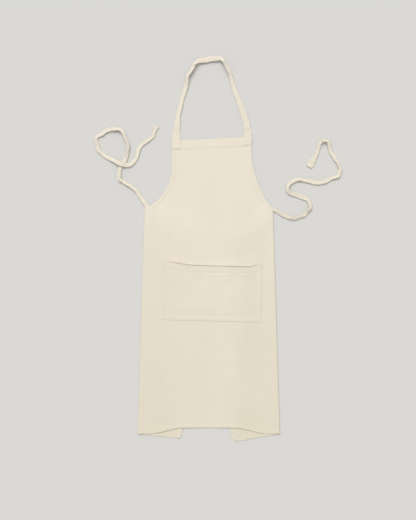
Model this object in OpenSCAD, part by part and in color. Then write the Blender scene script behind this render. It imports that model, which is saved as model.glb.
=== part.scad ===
// Bib apron of natural linen, laid out face up on a flat surface.
// Its two side parts (the flanks) are folded behind the front along two fold lines,
// and its neck strap and ties lie loose. Millimetres, +Z up from the surface,
// +X to the right and +Y towards the neck as it is looked at from above.

/* [Front] */
// Height of the skirt, from the bottom hem to the waist corners
skirt_h = 657; // [500:1:820]
// Height of the bib, from the waist corners to its top edge
bib_h = 209; // [160:1:270]
// Width between the two folds at the bottom hem
hem_w = 421; // [350:1:520]
// Width between the two folds at the waist corners
waist_w = 380; // [320:1:470]
// Width of the bib at the top
bib_w = 238; // [190:1:290]
// How far the bib lies to the right of the centreline
bib_shift = 9; // [-15:1:15]
// How much higher the bib's right corner lies than its left one
bib_rise = 12; // [0:1:20]
// Straight side of the bib above the left armhole
left_side_h = 81; // [50:1:110]
// Straight side of the bib above the right armhole
right_side_h = 30; // [24:1:60]
// How far the bottom hem droops towards the folds
hem_droop = 18; // [5:1:25]

/* [Flanks] */
// Width of the left flank
left_flank_w = 127; // [90:1:160]
// Width of the right flank
right_flank_w = 140; // [90:1:160]
// How far the left flank's inner corner lies below its fold at the hem
left_flank_slant = 10; // [0:1:25]
// How far the right flank's inner corner lies below its fold at the hem
right_flank_slant = 18; // [0:1:25]
// Drop of the left armhole across the flank
left_flank_drop = 60; // [40:1:110]
// Drop of the right armhole across the flank
right_flank_drop = 85; // [60:1:120]

/* [Cloth] */
// Thickness of one layer of cloth
cloth_t = 0.8; // [0.5:0.05:1.2]
// Depth of the narrow hems
hem_band = 10; // [6:0.5:15]
// Depth of the hem along the top of the bib
bib_band = 27; // [20:0.5:35]
// Free height that is left above the tie between the layers
layer_gap = 0.3; // [0.2:0.05:1]
// Width of a sewing thread as it lies on the cloth
thread_w = 0.5; // [0.3:0.05:1]
// Height of a sewing thread above the cloth
thread_h = 0.25; // [0.1:0.05:0.4]

/* [Pocket] */
// Width of the pocket
pocket_w = 296; // [220:1:360]
// Height of the pocket
pocket_h = 172; // [130:1:210]
// Height of the pocket's bottom edge above the hem
pocket_up = 320; // [250:1:400]
// How far the pocket lies to the right of the centreline
pocket_shift = 10; // [-20:1:20]
// Turn of the pocket, in degrees
pocket_turn = -1.5; // [-3:0.5:3]
// Free height inside the pocket's mouth
pocket_gape = 8; // [6.5:0.5:14]
// Depth of the hem at the pocket's mouth
pocket_band = 17; // [12:0.5:25]
// Flat border of the pocket under its seam
pocket_border = 8; // [6:0.5:12]

/* [Straps] */
// Width of the neck strap and of the ties
strap_w = 23; // [18:0.5:30]
// Thickness of the neck strap and of the ties, four layers sewn together
strap_t = 1.4; // [1:0.1:2]
// Length of each strap end that is sewn behind the bib
strap_seat = 25; // [18:1:30]
// Height of the neck loop above the bib
loop_h = 246; // [200:1:320]
// Distance at which a loose strap starts, clear of the cloth it is sewn to
strap_clear = 4; // [3:0.5:6]

/* [Hidden] */

linen = [0.91, 0.88, 0.80];
linen_light = [0.93, 0.90, 0.83];
linen_strap = [0.90, 0.86, 0.77];
thread = [0.85, 0.80, 0.68];

// The layers, counted up from the surface
z_flank = 0;
z_flank_hem = z_flank + cloth_t;
z_root = z_flank_hem + cloth_t;
z_front_hem = z_root + strap_t + layer_gap;
z_front = z_front_hem + cloth_t;
z_face = z_front + cloth_t;

// The middle of all that lies on the surface, seen from the centreline at the hem.
// The folds lean, which takes the flanks' inner corners lower by fold_dip.
length = skirt_h + bib_h;
fold_dip = 4;
flank_low = hem_droop + max(left_flank_slant, right_flank_slant) + fold_dip;
lie_x = 28;
lie_y = (length + loop_h - flank_low) / 2;

// Corners of the front
left_top = [bib_shift - bib_w / 2, length - bib_rise / 2];
right_top = [bib_shift + bib_w / 2, length + bib_rise / 2];
fold_run = (hem_w - waist_w) / 2;
fold_len = norm([fold_run, skirt_h + hem_droop]);
fold_lean = atan(fold_run / (skirt_h + hem_droop));

// A seam runs seam_edge inside the hem that it holds, and hem_end parts the ends of two hems
seam_edge = 1.5;
seam_in = hem_band - seam_edge;
hem_end = 1;

// Steps that a curved edge is drawn in
edge_steps = 24;

function smooth(t) = let (c = min(max(t, 0), 1)) c * c * (3 - 2 * c);

// An armhole is an arc that starts upright at the bib's side and ends at the waist corner.
// side is -1 on the left and 1 on the right; inset moves the line into the cloth.
function arm_dx(side) = waist_w / 2 - abs(side * bib_w / 2 + bib_shift);
function arm_dy(side) = bib_h - (side < 0 ? left_side_h : right_side_h);
function arm_r(side) = (pow(arm_dx(side), 2) + pow(arm_dy(side), 2)) / (2 * arm_dx(side));
function arm_slope(side) = (arm_r(side) - arm_dx(side)) / arm_dy(side);
function bib_x(side) = side < 0 ? left_top[0] : right_top[0];
function bib_top(x) = left_top[1] + (x - left_top[0]) * bib_rise / bib_w;
function arm_edge(side, inset = 0) =
    let (r = arm_r(side), sweep = asin(arm_dy(side) / r),
         cx = bib_x(side) + side * r, cy = skirt_h + arm_dy(side))
    [for (i = [0 : edge_steps])
        let (a = sweep * (1 - i / edge_steps))
        [cx - side * (r + inset) * cos(a), cy - (r + inset) * sin(a)]];

function reversed(list) = [for (i = [len(list) - 1 : -1 : 0]) list[i]];

// The bottom hem is straight in the middle and droops smoothly towards the folds
hem_flat = 75;
hem_bend = 105;
function hem_y(x) = -hem_droop * smooth((abs(x) - hem_flat) / hem_bend);
function hem_line(up, from, to) =
    [for (i = [0 : edge_steps]) let (x = from + (to - from) * i / edge_steps) [x, hem_y(x) + up]];

// A ribbon of cloth between two lines of the same number of points
module band(outer, inner, z, t) {
    translate([0, 0, z]) linear_extrude(t) polygon(concat(outer, reversed(inner)));
}

// The apron is drawn from its centreline and hem, and moved so that the origin is at its middle
module lie() {
    translate([-lie_x, -lie_y, 0]) children();
}

// ---- Front ----

module front_panel() {
    color(linen) lie() translate([0, 0, z_front]) linear_extrude(cloth_t)
        polygon(concat(
            hem_line(0, -hem_w / 2, hem_w / 2),
            arm_edge(1),
            [right_top, left_top],
            reversed(arm_edge(-1))));
}

module bib_hem() {
    down = [0, -bib_band];
    color(linen_light) lie()
        band([left_top, right_top], [left_top + down, right_top + down], z_front_hem, cloth_t);
}

// The armhole's hem runs up the bib's side to the bib hem
module armhole_hem(side) {
    outer = bib_x(side);
    inner = outer - side * hem_band;
    color(linen_light) lie()
        band(concat(arm_edge(side), [[outer, bib_top(outer) - bib_band]]),
             concat(arm_edge(side, hem_band), [[inner, bib_top(inner) - bib_band]]),
             z_front_hem, cloth_t);
}

// The bottom hem ends short of the folds, where the flanks' own hems go on
module front_bottom_hem() {
    half = hem_w / 2 - hem_band;
    color(linen_light) lie()
        band(hem_line(0, -half, half), hem_line(hem_band, -half, half), z_front_hem, cloth_t);
}

module bib_stitching() {
    down = [0, -(bib_band - seam_edge)];
    up = [0, thread_w];
    a = left_top + [hem_band, 0];
    b = right_top - [hem_band, 0];
    color(thread) lie() band([a + down + up, b + down + up], [a + down, b + down], z_face, thread_h);
}

// The armhole's seam runs up the bib's side to the bib hem
module armhole_stitching(side) {
    x = bib_x(side) - side * seam_in;
    top = bib_top(x) - bib_band;
    color(thread) lie()
        band(concat(arm_edge(side, seam_in), [[x, top]]),
             concat(arm_edge(side, seam_in + thread_w), [[x - side * thread_w, top]]),
             z_face, thread_h);
}

module front_hem_stitching() {
    half = hem_w / 2 - hem_band;
    color(thread) lie()
        band(hem_line(seam_in, -half, half), hem_line(seam_in + thread_w, -half, half),
             z_face, thread_h);
}

// ---- Flanks ----
// A flank is drawn from its fold: x is the distance in from the fold line, y runs up along it
// from the hem. at_fold() lays that drawing on the left, or mirrored on the right.

// How far a flank hangs below the front's hem at the fold, and stays below the waist corner
flank_peek = 3;
corner_ease = 8;

function flank_w(side) = side < 0 ? left_flank_w : right_flank_w;
function flank_slant(side) = side < 0 ? left_flank_slant : right_flank_slant;
function flank_drop(side) = side < 0 ? left_flank_drop : right_flank_drop;
function flank_hem(side, x) = -flank_peek - (flank_slant(side) - flank_peek) * x / flank_w(side);

// The flank's top edge carries the armhole's slope on and flattens out
function top_bow(side) =
    (arm_slope(side) * flank_w(side) - (flank_drop(side) - corner_ease)) / pow(flank_w(side), 2);
function flank_top(side, x) =
    fold_len - corner_ease - arm_slope(side) * x + top_bow(side) * x * x;
function top_in(side, x, d) =
    let (s = -arm_slope(side) + 2 * top_bow(side) * x, n = norm([s, 1]))
    [x + s * d / n, flank_top(side, x) - d / n];
function top_line(side, d, from, to) =
    [for (i = [0 : edge_steps]) top_in(side, from + (to - from) * i / edge_steps, d)];

module at_fold(side) {
    lie() mirror([side < 0 ? 0 : 1, 0, 0])
        translate([-hem_w / 2, -hem_droop, 0]) rotate([0, 0, -fold_lean]) children();
}

module flank(side) {
    w = flank_w(side);
    color(linen) at_fold(side) translate([0, 0, z_flank]) linear_extrude(cloth_t)
        polygon(concat([[0, flank_hem(side, 0)], [w, flank_hem(side, w)]],
                       reversed(top_line(side, 0, 0, w))));
}

module flank_side_hem(side) {
    w = flank_w(side);
    low = flank_hem(side, w - hem_band) + hem_band;
    under_top = [for (x = [w - 2 * hem_band, w - hem_end]) top_in(side, x, hem_band)[1]];
    high = min(under_top) - hem_end;
    color(linen_light) at_fold(side) translate([w - hem_band, low, z_flank_hem])
        cube([hem_band, high - low, cloth_t]);
}

module flank_bottom_hem(side) {
    w = flank_w(side);
    a = [0, flank_hem(side, 0)];
    b = [w, flank_hem(side, w)];
    up = [0, hem_band];
    color(linen_light) at_fold(side) band([a, b], [a + up, b + up], z_flank_hem, cloth_t);
}

module flank_top_hem(side) {
    w = flank_w(side);
    from = 2 * hem_band;
    to = w - hem_end;
    color(linen_light) at_fold(side)
        band(top_line(side, 0, from, to), top_line(side, hem_band, from, to), z_flank_hem, cloth_t);
}

module flank_stitching(side) {
    w = flank_w(side);
    low = flank_hem(side, w) + seam_in;
    high = flank_top(side, w) - 2 * strap_w;
    a = [hem_band, flank_hem(side, hem_band) + seam_in];
    b = [w - seam_in, flank_hem(side, w - seam_in) + seam_in];
    up = [0, thread_w];
    color(thread) at_fold(side) translate([0, 0, z_root]) linear_extrude(thread_h) {
        translate([w - seam_in, low]) square([thread_w, high - low]);
        polygon([a, b, b + up, a + up]);
    }
}

// The hidden end of a tie: sewn to the flank's corner, it runs along its top between the layers
root_from = 26;
root_in = 2;

module tie_root(side) {
    to = flank_w(side) - root_in;
    color(linen_strap) at_fold(side)
        band(top_line(side, root_in, root_from, to), top_line(side, root_in + strap_w, root_from, to),
             z_root, strap_t);
}

// A tack is a sewn box with a cross in it, wide by high, tack_in inside the strap's edges
tack_in = 3;

module box_stitch(wide, high) {
    diagonal = norm([wide, high]) - 2 * thread_w;
    difference() {
        square([wide, high], center = true);
        square([wide - 2 * thread_w, high - 2 * thread_w], center = true);
    }
    for (turn = [atan(high / wide), -atan(high / wide)])
        rotate(turn) square([diagonal, thread_w], center = true);
}

module tie_tack(side) {
    box = strap_w - 2 * tack_in;
    x = flank_w(side) - root_in - box / 2 - 2 * tack_in;
    color(thread) at_fold(side)
        translate(concat(top_in(side, x, root_in + strap_w / 2), [z_root + strap_t]))
        linear_extrude(thread_h) box_stitch(box, box);
}

// ---- Pocket ----
// Its cloth is fuller than the front behind it, so it stands proud inside its seam and gapes

pocket_cols = 17;
pocket_rows = 9;
pocket_rise = 60;

// The rows and columns that the sheet is drawn in: its flat border, then even steps
function evenly(from, to, steps) = [for (i = [0 : steps]) from + (to - from) * i / steps];
function inner_xs(skip = 0) =
    let (all = evenly(pocket_border, pocket_w - pocket_border, pocket_cols))
    [for (i = [skip : pocket_cols - skip]) all[i]];
pocket_xs = concat([0], inner_xs(), [pocket_w]);
pocket_ys = concat([0], evenly(pocket_border, pocket_h - pocket_band, pocket_rows), [pocket_h]);

function proud(x, y) =
    let (side = min(x, pocket_w - x) - pocket_border,
         up = min(max((y - pocket_border) / (pocket_h - pocket_border), 0), 1))
    pocket_gape * smooth(side / pocket_rise) * (1 - pow(1 - up, 2));

// A sheet with a point at each of xs and ys, its underside lift over the pocket cloth's own
module pocket_sheet(xs, ys, lift, t) {
    n = len(xs);
    m = len(ys);
    lower = [for (y = ys) for (x = xs) [x, y, proud(x, y) + lift]];
    upper = [for (p = lower) p + [0, 0, t]];
    all = n * m;
    quads = [for (j = [0 : m - 2]) for (i = [0 : n - 2]) j * n + i];
    rim = concat([for (i = [0 : n - 2]) i],
                 [for (j = [0 : m - 2]) j * n + n - 1],
                 [for (i = [n - 1 : -1 : 1]) (m - 1) * n + i],
                 [for (j = [m - 1 : -1 : 1]) j * n]);
    polyhedron(concat(lower, upper), concat(
        [for (q = quads) each [[q, q + 1, q + n + 1], [q, q + n + 1, q + n]]],
        [for (q = quads) each [[q + all, q + all + n + 1, q + all + 1],
                               [q + all, q + all + n, q + all + n + 1]]],
        [for (k = [0 : len(rim) - 1])
            let (a = rim[k], b = rim[(k + 1) % len(rim)])
            each [[a, a + all, b + all], [a, b + all, b]]]));
}

module at_pocket() {
    lie() translate([pocket_shift, pocket_up + pocket_h / 2, z_face]) rotate([0, 0, pocket_turn])
        translate([-pocket_w / 2, -pocket_h / 2, 0]) children();
}

module pocket_panel() {
    color(linen) at_pocket() pocket_sheet(pocket_xs, pocket_ys, 0, cloth_t);
}

// The hem is turned to the inside of the mouth, where the pocket stands clear of the front:
// this many steps in from the pocket's border
hem_skip = 2;

module pocket_mouth_hem() {
    color(linen_light) at_pocket()
        pocket_sheet(inner_xs(hem_skip), [pocket_h - pocket_band, pocket_h], -cloth_t, cloth_t);
}

module pocket_mouth_stitching() {
    y = pocket_h - pocket_band + seam_edge;
    color(thread) at_pocket() pocket_sheet(inner_xs(), [y, y + thread_w], cloth_t, thread_h);
}

module pocket_seam_stitching() {
    in = pocket_border / 2 - seam_edge;
    color(thread) at_pocket() translate([0, 0, cloth_t]) linear_extrude(thread_h) difference() {
        translate([in, in]) square([pocket_w - 2 * in, pocket_h - in]);
        translate([in + thread_w, in + thread_w])
            square([pocket_w - 2 * (in + thread_w), pocket_h]);
    }
}

// One bar of close stitches across the seam at each end of the mouth
module pocket_bartacks() {
    bar = [2, 8, thread_h];
    in = pocket_border / 2;
    color(thread) at_pocket()
        for (x = [in, pocket_w - in - bar[0]])
            translate([x, pocket_h - bar[1] - seam_edge, cloth_t]) cube(bar);
}

// ---- Straps ----
// A loose strap is swept along a route of [x, y, lift, tilt, curl]: the lowest edge lies lift
// above the surface, and the strip is turned on its length by tilt and curled by curl degrees.

strap_cells = 6;
route_steps = 3;

function mix_four(a, b, c, d, t) =
    0.5 * (2 * b + (c - a) * t + (2 * a - 5 * b + 4 * c - d) * t * t
           + (3 * b - a - 3 * c + d) * t * t * t);
function smooth_route(pts) =
    let (last = len(pts) - 1)
    concat([for (i = [0 : last - 1]) for (k = [0 : route_steps - 1])
                mix_four(pts[max(i - 1, 0)], pts[i], pts[i + 1], pts[min(i + 2, last)],
                         k / route_steps)],
           [pts[last]]);

// The strip's outline across its length, as [sideways, up], resting on zero
function strip_side(curl, tilt, out) =
    [for (i = [0 : strap_cells])
        let (s = i / strap_cells - 0.5,
             bend = max(abs(curl), 1),
             r = strap_w * 180 / (PI * bend),
             x = (r + out) * sin(s * bend),
             y = (r + out) * cos(s * bend) - r)
        [x * cos(tilt) - y * sin(tilt), x * sin(tilt) + y * cos(tilt)]];
function strip_outline(curl, tilt) =
    let (pts = concat(strip_side(curl, tilt, strap_t / 2),
                      reversed(strip_side(curl, tilt, -strap_t / 2))),
         xs = [for (p = pts) p[0]],
         low = min([for (p = pts) p[1]]))
    [for (p = pts) [p[0] - (min(xs) + max(xs)) / 2, p[1] - low]];

module strap(pts) {
    route = smooth_route(pts);
    n = len(route);
    m = 2 * (strap_cells + 1);
    rings = [for (i = [0 : n - 1])
        let (p = route[i],
             ahead = route[min(i + 1, n - 1)] - route[max(i - 1, 0)],
             run = norm([ahead[0], ahead[1]]),
             side = [-ahead[1], ahead[0]] / run)
        each [for (q = strip_outline(p[4], p[3]))
            [p[0] + side[0] * q[0], p[1] + side[1] * q[0], max(p[2], 0) + q[1]]]];
    polyhedron(rings, concat(
        [[for (k = [0 : m - 1]) k]],
        [[for (k = [m - 1 : -1 : 0]) (n - 1) * m + k]],
        [for (i = [0 : n - 2]) for (k = [0 : m - 1])
            let (a = i * m + k, b = i * m + (k + 1) % m)
            each [[a, a + m, b], [b, a + m, b + m]]]));
}

// The neck loop: [share of the way from the left end to the right one, share of the loop's
// height, lift, tilt, curl]
loop_in = strap_w / 2 + hem_end;
neck_route = [
    [0.000, 0.000, 1.8, 0, 0], [0.003, 0.05, 0.9, 0, 60], [0.013, 0.11, 0, -8, 110],
    [0.035, 0.20, 0, -15, 150], [0.063, 0.31, 0, -20, 190], [0.098, 0.43, 0, -15, 140],
    [0.129, 0.55, 0, -25, 150], [0.156, 0.66, 0, -40, 200], [0.180, 0.76, 0, -50, 250],
    [0.215, 0.84, 0, -40, 240], [0.265, 0.91, 0, -30, 200], [0.335, 0.950, 0, -20, 160],
    [0.440, 0.966, 1, -15, 140], [0.550, 0.970, 1, -15, 140], [0.635, 0.950, 0, -20, 170],
    [0.685, 0.890, 0, -35, 240], [0.725, 0.81, 0, -40, 250], [0.765, 0.71, 0, -30, 200],
    [0.800, 0.60, 0, -15, 110], [0.845, 0.48, 0, 0, 70], [0.890, 0.37, 0, 8, 90],
    [0.945, 0.22, 0, 12, 150], [0.985, 0.12, 0, 6, 90], [0.998, 0.05, 0.9, 0, 40],
    [1.000, 0.000, 1.8, 0, 0]
];

module neck_strap() {
    from = strap_ends[0] + [0, strap_clear];
    to = strap_ends[1] + [0, strap_clear];
    color(linen_strap) lie()
        strap([for (p = neck_route)
            [from[0] + (to[0] - from[0]) * p[0],
             from[1] + (to[1] - from[1]) * p[0] + (loop_h - strap_clear) * p[1],
             p[2], p[3], p[4]]]);
}

// The two sewn ends, flat against the back of the bib hem
strap_ends = [left_top + [loop_in, 0], right_top - [loop_in, 0]];
end_gap = 2;

module neck_strap_ends() {
    color(linen_strap) lie()
        for (end = strap_ends)
            translate([end[0] - strap_w / 2, end[1] - strap_seat, z_front_hem - strap_t])
                cube([strap_w, strap_seat - end_gap, strap_t]);
}

module neck_strap_tacks() {
    color(thread) lie()
        for (end = strap_ends)
            translate([end[0], end[1] - (strap_seat + end_gap) / 2, z_face])
                linear_extrude(thread_h)
                    box_stitch(strap_w - 2 * tack_in, strap_seat - end_gap - 2 * tack_in);
}

// The ties, from the waist corner on their side: [x, y, lift, tilt, curl]
left_route = [
    [-4, 5, 1.6, 0, 20], [-11, 18, 0.9, 0, 80], [-22, 44, 0, 10, 150], [-36, 60, 0, 15, 190],
    [-52, 73, 0, 20, 200], [-66, 79, 0, 30, 220], [-77, 85, 0, 40, 250], [-80, 97, 0, 35, 240],
    [-79, 113, 0, 15, 170], [-73, 133, 0, 5, 120], [-62, 152, 0, 15, 190], [-54, 180, 0, 20, 220],
    [-58, 203, 0, 25, 230], [-74, 231, 0, 20, 200], [-90, 236, 0, 15, 170], [-112, 231, 0, 15, 200],
    [-130, 220, 0, 20, 230], [-146, 209, 0, 10, 270], [-148, 196, 0, -10, 240],
    [-140, 172, 0, -15, 210], [-124, 155, 0, -10, 190], [-102, 147, 2, -5, 160],
    [-84, 141, 7.5, 0, 110], [-72, 132, 7.5, 0, 120], [-57, 128, 1.5, -10, 180],
    [-41, 132, 0, -15, 220], [-28, 143, 0, -15, 240], [-25, 162, 0, -20, 230],
    [-20, 180, 0, -10, 200], [-7, 193, 0, 0, 160], [12, 203, 0, 5, 120], [25, 218, 0, 0, 80],
    [33, 246, 0, 0, 50]
];
right_route = [
    [9, 4, 1.6, 0, 120], [17, -6, 0.6, 5, 170], [28, -16, 0, 15, 200], [44, -24, 0, 20, 210],
    [62, -29, 0, 15, 200], [82, -29, 0, 10, 190], [98, -21, 0, 20, 220], [112, -10, 0, 30, 250],
    [115, 4, 0, 20, 230], [107, 20, 0, 10, 170], [88, 32, 0, 0, 110], [66, 41, 0, -5, 120],
    [49, 52, 0, -30, 230], [43, 67, 0, -30, 260], [50, 82, 0, -20, 240], [68, 90, 0, -10, 210],
    [96, 87, 0, -10, 200], [128, 80, 0, -15, 200], [158, 86, 0, -20, 210], [186, 97, 0, -25, 230],
    [199, 110, 0, -25, 250], [197, 134, 0, -15, 220], [181, 164, 0, -10, 200],
    [166, 193, 0, -15, 230], [160, 202, 0, -10, 290], [148, 205, 0, 0, 300], [139, 196, 0, 10, 280],
    [132, 175, 0, 10, 200], [120, 147, 0, 5, 120], [106, 122, 0, 0, 60]
];

module tie(side, route) {
    corner = [side * waist_w / 2, skirt_h, 0, 0, 0];
    color(linen_strap) lie() strap([for (p = route) p + corner]);
}

front_panel();
bib_hem();
armhole_hem(-1);  // left_armhole_hem
armhole_hem(1);  // right_armhole_hem
front_bottom_hem();
bib_stitching();
armhole_stitching(-1);  // left_armhole_stitching
armhole_stitching(1);  // right_armhole_stitching
front_hem_stitching();
flank(-1);  // left_flank
flank_side_hem(-1);  // left_flank_side_hem
flank_bottom_hem(-1);  // left_flank_bottom_hem
flank_top_hem(-1);  // left_flank_top_hem
flank_stitching(-1);  // left_flank_stitching
tie_root(-1);  // left_tie_root
tie_tack(-1);  // left_tie_tack
flank(1);  // right_flank
flank_side_hem(1);  // right_flank_side_hem
flank_bottom_hem(1);  // right_flank_bottom_hem
flank_top_hem(1);  // right_flank_top_hem
flank_stitching(1);  // right_flank_stitching
tie_root(1);  // right_tie_root
tie_tack(1);  // right_tie_tack
pocket_panel();
pocket_mouth_hem();
pocket_seam_stitching();
pocket_mouth_stitching();
pocket_bartacks();
neck_strap_ends();
neck_strap_tacks();
neck_strap();
tie(-1, left_route);  // left_tie
tie(1, right_route);  // right_tie
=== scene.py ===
# %% [markdown]
# A linen bib apron, laid out flat
#
# The apron is one cut of washed linen with a hem all round, a wide patch pocket, a neck strap and
# two ties. It lies face up: its two sides are folded behind the front, and the straps lie in loose
# curves. Cloth this flat shows itself through small things: the roll of a fold, the step of a hem,
# the pucker along a seam, the pocket's slack lip. So every sheet here is a fine grid of points
# whose height is worked out by plain formulas, and gets its thickness from a modifier.

# %% Open the frame
import math

import bpy
import numpy as np
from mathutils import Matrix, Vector, noise


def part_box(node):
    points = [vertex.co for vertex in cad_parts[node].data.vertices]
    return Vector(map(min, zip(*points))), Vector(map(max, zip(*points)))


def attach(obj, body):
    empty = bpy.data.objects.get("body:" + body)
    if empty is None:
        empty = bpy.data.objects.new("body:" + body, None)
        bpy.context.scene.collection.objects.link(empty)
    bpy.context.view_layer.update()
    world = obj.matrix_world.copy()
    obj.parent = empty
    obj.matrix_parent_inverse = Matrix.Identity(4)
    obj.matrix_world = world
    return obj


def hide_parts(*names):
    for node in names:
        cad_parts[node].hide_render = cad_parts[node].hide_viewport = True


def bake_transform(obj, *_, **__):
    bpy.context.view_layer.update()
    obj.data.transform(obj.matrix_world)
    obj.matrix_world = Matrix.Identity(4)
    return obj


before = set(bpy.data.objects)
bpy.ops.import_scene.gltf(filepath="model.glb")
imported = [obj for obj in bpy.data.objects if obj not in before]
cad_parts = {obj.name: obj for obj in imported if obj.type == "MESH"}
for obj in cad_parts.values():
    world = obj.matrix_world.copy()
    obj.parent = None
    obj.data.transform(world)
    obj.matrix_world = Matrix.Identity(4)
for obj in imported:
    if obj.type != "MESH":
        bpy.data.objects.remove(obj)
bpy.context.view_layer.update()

bpy.ops.object.select_all(action="DESELECT")

# %% [markdown]
# First the sizes. The frame gives the places: the front's box says where the folds and the hem
# are, and the bib hem's box where the bib stands. The cloth is drawn from its own centreline and
# hem, as a pattern cutter would, and moved into the frame as the last thing.

# %% Read the sizes from the frame
front_low, front_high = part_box("front_panel")
bib_low, bib_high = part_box("bib_hem")

# A side is also the sign of its x in the drawing
SIDES = {-1: "left", 1: "right"}

# Thickness of the cloth, of a hem's strip and of the straps, and the straps' width
CLOTH_T = 0.0008
HEM_T = 0.0007
STRAP_T = 0.0014
STRAP_W = 0.023

# The front: the hem's droop towards the folds, the height of the waist corners and half the waist
HEM_DROOP = 0.018
SKIRT_H = 0.657
WAIST_HALF = 0.190
HEM_HALF = (front_high.x - front_low.x) / 2
PLACE = Vector(((front_low.x + front_high.x) / 2, front_low.y + HEM_DROOP, 0))

# The bib: its sides, how much its top rises to the right, and the straight part of each side
BIB_X = {-1: bib_low.x - PLACE.x, 1: bib_high.x - PLACE.x}
BIB_RISE = 0.012
BIB_TOP = bib_high.y - PLACE.y - BIB_RISE / 2
STRAIGHT = {-1: 0.081, 1: 0.030}

# The flanks: width, slant of the bottom edge, drop of the top edge, and how far each shows below
# the front at its fold and starts below the waist corner
FLANK_W = {-1: 0.127, 1: 0.140}
FLANK_SLANT = {-1: 0.010, 1: 0.018}
FLANK_DROP = {-1: 0.060, 1: 0.085}
FLANK_PEEK = 0.003
CORNER_EASE = 0.008

# Sewing: the hems' widths, where their seams run, and how deep a strap is sewn on
HEM_BAND = 0.010
BIB_BAND = 0.027
SEAM_IN = 0.0085
BAND_SEAM = 0.0015
STRAP_SEAT = 0.025

fold_run = HEM_HALF - WAIST_HALF
FOLD_LEN = math.hypot(fold_run, SKIRT_H + HEM_DROOP)
FOLD_COS = (SKIRT_H + HEM_DROOP) / FOLD_LEN
FOLD_SIN = fold_run / FOLD_LEN
print(f"front {2 * HEM_HALF:.3f} m wide, {BIB_TOP:.3f} m high, bib {BIB_X[1] - BIB_X[-1]:.3f} m wide")

# %% [markdown]
# The outline follows the same few curves that the cutter uses: a straight side along each fold, a
# round armhole that leaves the waist corner and ends upright at the bib, and a bottom hem that
# droops a little towards the folds. All of them are functions on whole arrays of points.

# %% Draw the outline with functions
def smooth(t):
    """0 below 0, 1 above 1, and an even S between them."""
    t = np.clip(t, 0, 1)
    return t * t * (3 - 2 * t)


def mix(a, b, t):
    return a + (b - a) * t


def bump(x, middle, width):
    """A soft ridge of height 1."""
    return np.exp(-((x - middle) / width) ** 2)


DROOP_FROM = 0.075
DROOP_OVER = 0.105


def hem_y(x):
    """The bottom hem: level in the middle, lower towards the folds."""
    return -HEM_DROOP * smooth((abs(x) - DROOP_FROM) / DROOP_OVER)


def bib_y(x):
    """The bib's top edge, which rises a little to the right."""
    return BIB_TOP + BIB_RISE * ((x - BIB_X[-1]) / (BIB_X[1] - BIB_X[-1]) - 0.5)


def armhole(side):
    """The armhole's circle: its centre and its radius."""
    dx = WAIST_HALF - abs(BIB_X[side])
    dy = BIB_TOP - SKIRT_H - STRAIGHT[side]
    radius = (dx * dx + dy * dy) / (2 * dx)
    return BIB_X[side] + side * radius, SKIRT_H + dy, radius


def side_x(side, y):
    """Where the front ends on that side, at height y."""
    cx, cy, radius = armhole(side)
    fold = side * (HEM_HALF - fold_run * (y + HEM_DROOP) / (SKIRT_H + HEM_DROOP))
    drop = np.clip(cy - y, 0, cy - SKIRT_H)
    arc = cx - side * np.sqrt(radius * radius - drop * drop)
    return np.where(y < SKIRT_H, fold, arc)


def side_gap(side, x, y):
    """How far a point lies inside the armhole or the bib's side."""
    cx, cy, radius = armhole(side)
    return np.where(y < cy, np.hypot(x - cx, y - cy) - radius, side * (BIB_X[side] - x))


def to_fold(side, x, y):
    """A point as its distance in from the fold and its distance up along it."""
    across, up = HEM_HALF - side * x, y + HEM_DROOP
    return across * FOLD_COS - up * FOLD_SIN, across * FOLD_SIN + up * FOLD_COS


def from_fold(side, s, t):
    """A point of the drawing from its two distances."""
    return side * (HEM_HALF - s * FOLD_COS - t * FOLD_SIN), t * FOLD_COS - s * FOLD_SIN - HEM_DROOP


def arm_slope(side):
    """How steeply the armhole leaves the waist corner."""
    cx, cy, radius = armhole(side)
    return (radius - WAIST_HALF + abs(BIB_X[side])) / (cy - SKIRT_H)


def flank_top(side, s):
    """The flank's top edge: on from the armhole's curve, bowed to its far corner."""
    width, slope = FLANK_W[side], arm_slope(side)
    bow = (slope * width - FLANK_DROP[side] + CORNER_EASE) / width ** 2
    return FOLD_LEN - CORNER_EASE - slope * s + bow * s * s


def flank_hem(side, s):
    """The flank's bottom edge, which slants down from the fold."""
    return -FLANK_PEEK - (FLANK_SLANT[side] - FLANK_PEEK) * s / FLANK_W[side]


print("armhole radii", [round(armhole(side)[2], 3) for side in SIDES])

# %% [markdown]
# Next the shader helper. A material's maths reads best as ordinary sums, so Value wraps one socket
# and adds a Math node for each operator, and Finish starts a material and makes any other node.

# %% Wrap a socket so that sums can be written out
class Value:
    """A number that varies over a surface."""

    def __init__(self, finish, socket):
        self.finish, self.socket = finish, socket

    def math(self, operation, *others, first=None):
        inputs = [self, *others] if first is None else [first, self]
        return self.finish.node("ShaderNodeMath", {"operation": operation}, *inputs)

    def __add__(self, other):
        return self.math("ADD", other)

    def __sub__(self, other):
        return self.math("SUBTRACT", other)

    def __rsub__(self, other):
        return self.math("SUBTRACT", first=other)

    def __mul__(self, other):
        return self.math("MULTIPLY", other)

    def __abs__(self):
        return self.math("ABSOLUTE")

    __radd__ = __add__
    __rmul__ = __mul__

    def sine(self):
        return self.math("SINE")

    def clamp(self):
        return self.finish.node("ShaderNodeClamp", {}, self)


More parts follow.
